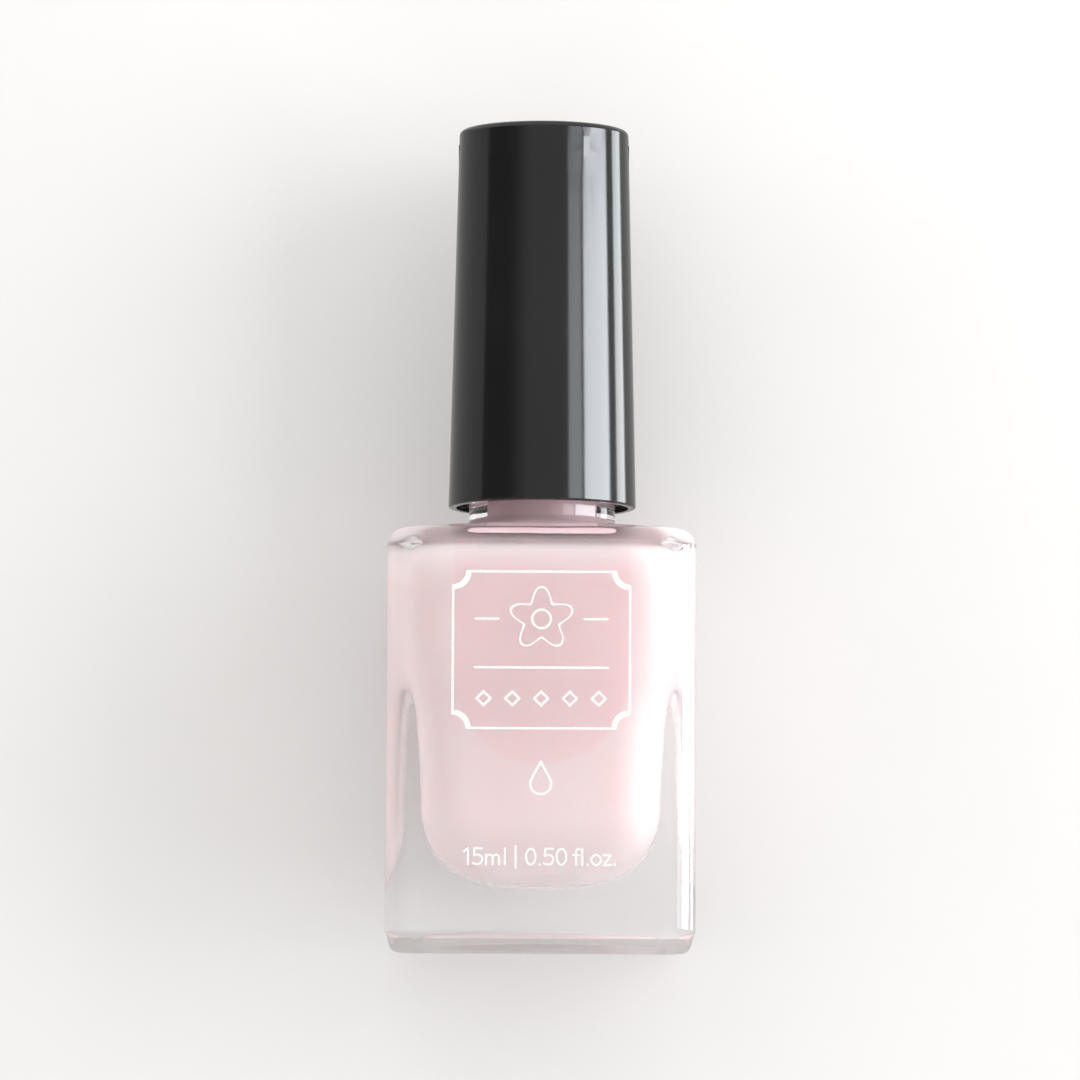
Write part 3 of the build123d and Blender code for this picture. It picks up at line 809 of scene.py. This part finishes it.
def finish_cad_pieces():
    """Materials for the nodes that keep their CAD meshes."""
    black = moulded_black_material()
    ink = ink_material()
    finishes = {
        "outer_cap": gloss_black_material(),
        "inner_cap": black,
        "brush_stem": black,
        "seal_washer": liner_material(),
        "brush_staple": brass_material(),
        "print_frame": ink,
        "print_ornament": ink,
        "print_drop": ink,
        "print_volume": ink,
    }
    for node, finish in finishes.items():
        dress(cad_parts[node], finish)


# ---- stage, light and camera --------------------------------------------------------------
AIM = Vector((-0.18, 0, 37.3)) * MM
CAMERA_DISTANCE = 0.871              # metres
CAMERA_TILT = math.radians(5.5)      # the camera looks slightly up at the standing bottle
CAMERA_ROLL = math.radians(0.3)
FRAME_SPAN = 0.0991                  # metres that the picture's side spans at the bottle's axis
SENSOR = 36.0
PANEL_DISTANCE = 0.6                 # metres
STAGE_HALF = 900                     # millimetres that the wall and the floor reach each way
WALL_PLACE = BODY_HALF + 0.25
FLOOR_PLACE = -0.05
BACKDROP = 0.86                      # what the camera sees where there is neither wall nor floor


def make_camera():
    lens = bpy.data.cameras.new("camera")
    lens.sensor_width = SENSOR
    lens.lens = SENSOR * CAMERA_DISTANCE / FRAME_SPAN
    lens.clip_start = 0.01
    lens.clip_end = 20
    camera = bpy.data.objects.new("camera", lens)
    bpy.context.scene.collection.objects.link(camera)
    back = Vector((0, -math.cos(CAMERA_TILT), -math.sin(CAMERA_TILT)))
    turn = (-back).to_track_quat("-Z", "Y").to_matrix().to_4x4()
    roll = Matrix.Rotation(CAMERA_ROLL, 4, "Z")
    camera.matrix_world = Matrix.Translation(AIM + back * CAMERA_DISTANCE) @ turn @ roll
    bpy.context.scene.camera = camera


def middle_and_half(span):
    """The middle and half of a span of degrees, in radians."""
    first, last = span
    return math.radians((first + last) / 2), math.radians((last - first) / 2)


def make_panel(name, azimuths, elevations, radiance, colour, lights=True, mirrored=True):
    """A soft panel facing the bottle, given by the angles it covers round from the camera and up.

    lights: it lights matt surfaces. mirrored: glossy surfaces show it."""
    azimuth, half_wide = middle_and_half(azimuths)
    elevation, half_high = middle_and_half(elevations)
    light = bpy.data.lights.new(name, "AREA")
    light.shape = "RECTANGLE"
    light.size = 2 * PANEL_DISTANCE * math.tan(half_wide)
    light.size_y = 2 * PANEL_DISTANCE * math.tan(half_high)
    light.energy = radiance * math.pi * light.size * light.size_y
    light.color = colour
    lamp = bpy.data.objects.new(name, light)
    bpy.context.scene.collection.objects.link(lamp)
    toward = Vector((math.sin(azimuth) * math.cos(elevation), -math.cos(azimuth) * math.cos(elevation),
                     math.sin(elevation)))
    lamp.matrix_world = (Matrix.Translation(AIM + toward * PANEL_DISTANCE)
                         @ toward.to_track_quat("Z", "Y").to_matrix().to_4x4())
    lamp.visible_camera = False
    lamp.visible_transmission = False
    lamp.visible_diffuse = lights
    lamp.visible_glossy = mirrored


def make_sheet(name, corners, material):
    """A flat sheet of the stage, its front on the side that its corners run anticlockwise."""
    sheet = object_from(name, corners, [(0, 1, 2, 3)], smooth=False)
    dress(sheet, material)


def make_stage():
    """A pale wall just behind the bottle and a pale floor under it, each seen from its front."""
    square = [(-STAGE_HALF, -STAGE_HALF), (STAGE_HALF, -STAGE_HALF), (STAGE_HALF, STAGE_HALF),
              (-STAGE_HALF, STAGE_HALF)]
    make_sheet("stage_wall", [(x, WALL_PLACE, z) for x, z in square],
               surface_material("pale_wall", ("Is Camera Ray", "Is Transmission Ray"), through_glass=1.3))
    make_sheet("stage_floor", [(x, y, FLOOR_PLACE) for x, y in square],
               surface_material("pale_floor", ("Is Camera Ray",)))


def make_world():
    """Pale room light. Reflections also show a dark gap on the left, level with the bottle."""
    n = Nodes("studio", world=True)
    toward = n.axes()
    path = n.add("ShaderNodeLightPath").outputs
    gap = n.span(toward["X"], -0.74, -0.25, 0.12, 0.52)
    behind = n.span(toward["Y"], -0.22, -0.12, 0.0, 0.5)
    above = n.span(toward["Z"], 0.2, 0.45, 0.0, 0.9)
    below = n.span(toward["Z"], -0.1, -0.35, 0.0, 0.8)
    mirrored = n.math("MAXIMUM", n.math("MAXIMUM", gap, behind), n.math("MAXIMUM", above, below))
    fill = n.span(toward["Z"], -0.6, 0.6, 0.91, 1.03)
    strength = n.mix(path["Is Glossy Ray"], fill, mirrored)
    glow = n.add("ShaderNodeBackground")
    glow.inputs["Color"].default_value = (1.0, 0.985, 0.965, 1)
    n.link(n.mix(path["Is Camera Ray"], strength, BACKDROP), glow.inputs["Strength"])
    bpy.context.scene.world = n.finish(glow)


def make_lights():
    """Panels that light the matt surfaces, then panels that only the glossy ones show."""
    make_panel("key", (42, 90), (-14, 30), 4.5, (0.97, 0.985, 1.0), mirrored=False)
    make_panel("bounce", (-85, -50), (-12, 35), 1.3, (1.0, 0.985, 0.97), mirrored=False)
    make_panel("top", (-30, 45), (38, 72), 1.5, (1.0, 0.99, 0.98), mirrored=False)
    make_panel("window", (54, 92), (-5, 14), 11.5, (0.90, 0.94, 1.0), lights=False)
    make_panel("window_side", (33, 50), (-5, 14), 3.4, (0.85, 0.93, 1.0), lights=False)
    make_panel("window_rim", (106, 124), (-5, 14), 6.5, (0.95, 0.98, 1.0), lights=False)


place_glass()
place_lacquer()
place_brush()
place_balls()
finish_cad_pieces()
make_world()
make_stage()
make_lights()
make_camera()
bpy.context.scene.view_settings.view_transform = "Standard"
